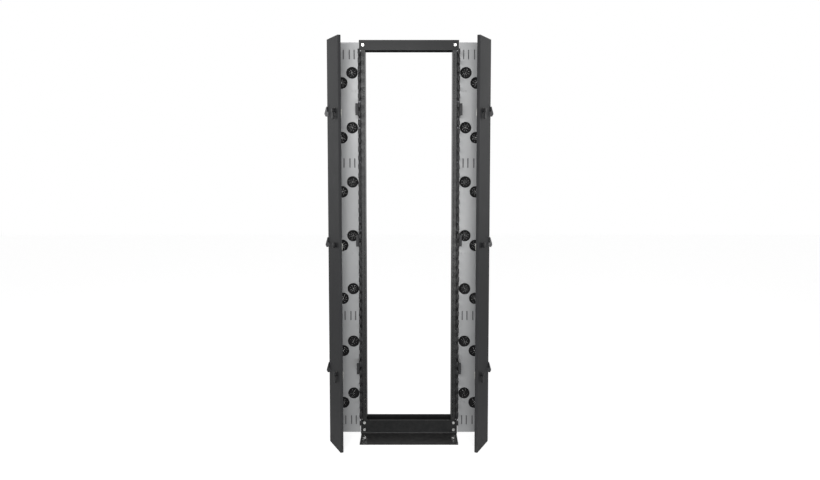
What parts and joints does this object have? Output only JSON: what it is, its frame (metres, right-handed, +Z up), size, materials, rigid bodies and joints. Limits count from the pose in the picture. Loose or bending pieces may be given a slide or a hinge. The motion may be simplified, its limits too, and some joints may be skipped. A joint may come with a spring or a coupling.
{
  "type": "vertical cable manager pair on a two-post rack",
  "caption": "Two-post equipment rack with a mirrored vertical cable manager on each side: grommeted back panels, cable fingers and full-height hinged, latched doors.",
  "frame": {"origin": "on the floor, at the middle of the rack between the four anchor holes", "axes": "+X to the right of someone facing the front, -Y towards that person, +Z up"},
  "size_m": [0.8484, 0.4621, 2.0764],
  "materials": {
    "rack_steel": "satin black powder coat",
    "zinc_fasteners": "bright zinc plate",
    "dark_screws": "black oxide",
    "panel_grey": "fine-texture light grey powder coat",
    "manager_black": "satin black powder coat",
    "finger_plastic": "fine moulded texture",
    "grommet_rubber": "matt black rubber",
    "hinge_black": "semi-gloss black",
    "washer_plastic": "natural nylon",
    "plated_steel": "zinc plate",
    "door_black": "fine-texture charcoal powder coat",
    "latch_black": "semi-gloss black zinc die casting"
  },
  "bodies": {
    "frame": {"left_upright": "rack_steel", "right_upright": "rack_steel", "top_angle_front": "rack_steel", "top_angle_rear": "rack_steel", "base_angle_front": "rack_steel", "base_angle_rear": "rack_steel", "rack_bolts": "zinc_fasteners", "rack_nuts": "zinc_fasteners", "left_back_panel": "panel_grey", "right_back_panel": "panel_grey", "left_outer_wall": "manager_black", "right_outer_wall": "manager_black", "left_fingers_1": "finger_plastic", "left_fingers_2": "finger_plastic", "left_fingers_3": "finger_plastic", "left_fingers_4": "finger_plastic", "right_fingers_1": "finger_plastic", "right_fingers_2": "finger_plastic", "right_fingers_3": "finger_plastic", "right_fingers_4": "finger_plastic", "left_grommets": "grommet_rubber", "right_grommets": "grommet_rubber", "left_mount_brackets": "manager_black", "right_mount_brackets": "manager_black", "bracket_bolts": "dark_screws", "panel_screws": "dark_screws", "finger_screws": "dark_screws", "left_strikes": "manager_black", "right_strikes": "manager_black", "left_hinge_brackets": "hinge_black", "right_hinge_brackets": "hinge_black", "hinge_screws": "dark_screws", "hinge_pins": "plated_steel", "hinge_washers": "washer_plastic"},
    "left_door": {"left_door_panel": "door_black", "left_door_stiffener": "door_black", "left_hinge_leaves": "hinge_black", "left_door_screws": "dark_screws", "left_latch_housings": "latch_black", "left_latch_nuts": "plated_steel"},
    "left_latch_bottom": {"left_handle_bottom": "latch_black", "left_cam_bottom": "plated_steel"},
    "left_latch_middle": {"left_handle_middle": "latch_black", "left_cam_middle": "plated_steel"},
    "left_latch_top": {"left_handle_top": "latch_black", "left_cam_top": "plated_steel"},
    "right_door": {"right_door_panel": "door_black", "right_door_stiffener": "door_black", "right_hinge_leaves": "hinge_black", "right_door_screws": "dark_screws", "right_latch_housings": "latch_black", "right_latch_nuts": "plated_steel"},
    "right_latch_bottom": {"right_handle_bottom": "latch_black", "right_cam_bottom": "plated_steel"},
    "right_latch_middle": {"right_handle_middle": "latch_black", "right_cam_middle": "plated_steel"},
    "right_latch_top": {"right_handle_top": "latch_black", "right_cam_top": "plated_steel"}
  },
  "joints": [
    {"name": "left_door_hinge", "type": "hinge", "parent": "frame", "child": "left_door", "pos_m": [-0.40018, -0.1441, 1.045], "axis": [0, 0, 1], "range_deg": [-46, 64]},
    {"name": "left_latch_bottom_turn", "type": "hinge", "parent": "left_door", "child": "left_latch_bottom", "pos_m": [-0.36002, -0.24468, 0.395], "axis": [-0.8988, -0.4384, 0], "range_deg": [0, 90]},
    {"name": "left_latch_middle_turn", "type": "hinge", "parent": "left_door", "child": "left_latch_middle", "pos_m": [-0.36002, -0.24468, 1.045], "axis": [-0.8988, -0.4384, 0], "range_deg": [0, 90]},
    {"name": "left_latch_top_turn", "type": "hinge", "parent": "left_door", "child": "left_latch_top", "pos_m": [-0.36002, -0.24468, 1.705], "axis": [-0.8988, -0.4384, 0], "range_deg": [0, 90]},
    {"name": "right_door_hinge", "type": "hinge", "parent": "frame", "child": "right_door", "pos_m": [0.40018, -0.1441, 1.045], "axis": [0, 0, -1], "range_deg": [-46, 64]},
    {"name": "right_latch_bottom_turn", "type": "hinge", "parent": "right_door", "child": "right_latch_bottom", "pos_m": [0.36002, -0.24468, 0.395], "axis": [-0.8988, 0.4384, 0], "range_deg": [0, 90]},
    {"name": "right_latch_middle_turn", "type": "hinge", "parent": "right_door", "child": "right_latch_middle", "pos_m": [0.36002, -0.24468, 1.045], "axis": [-0.8988, 0.4384, 0], "range_deg": [0, 90]},
    {"name": "right_latch_top_turn", "type": "hinge", "parent": "right_door", "child": "right_latch_top", "pos_m": [0.36002, -0.24468, 1.705], "axis": [-0.8988, 0.4384, 0], "range_deg": [0, 90]}
  ]
}
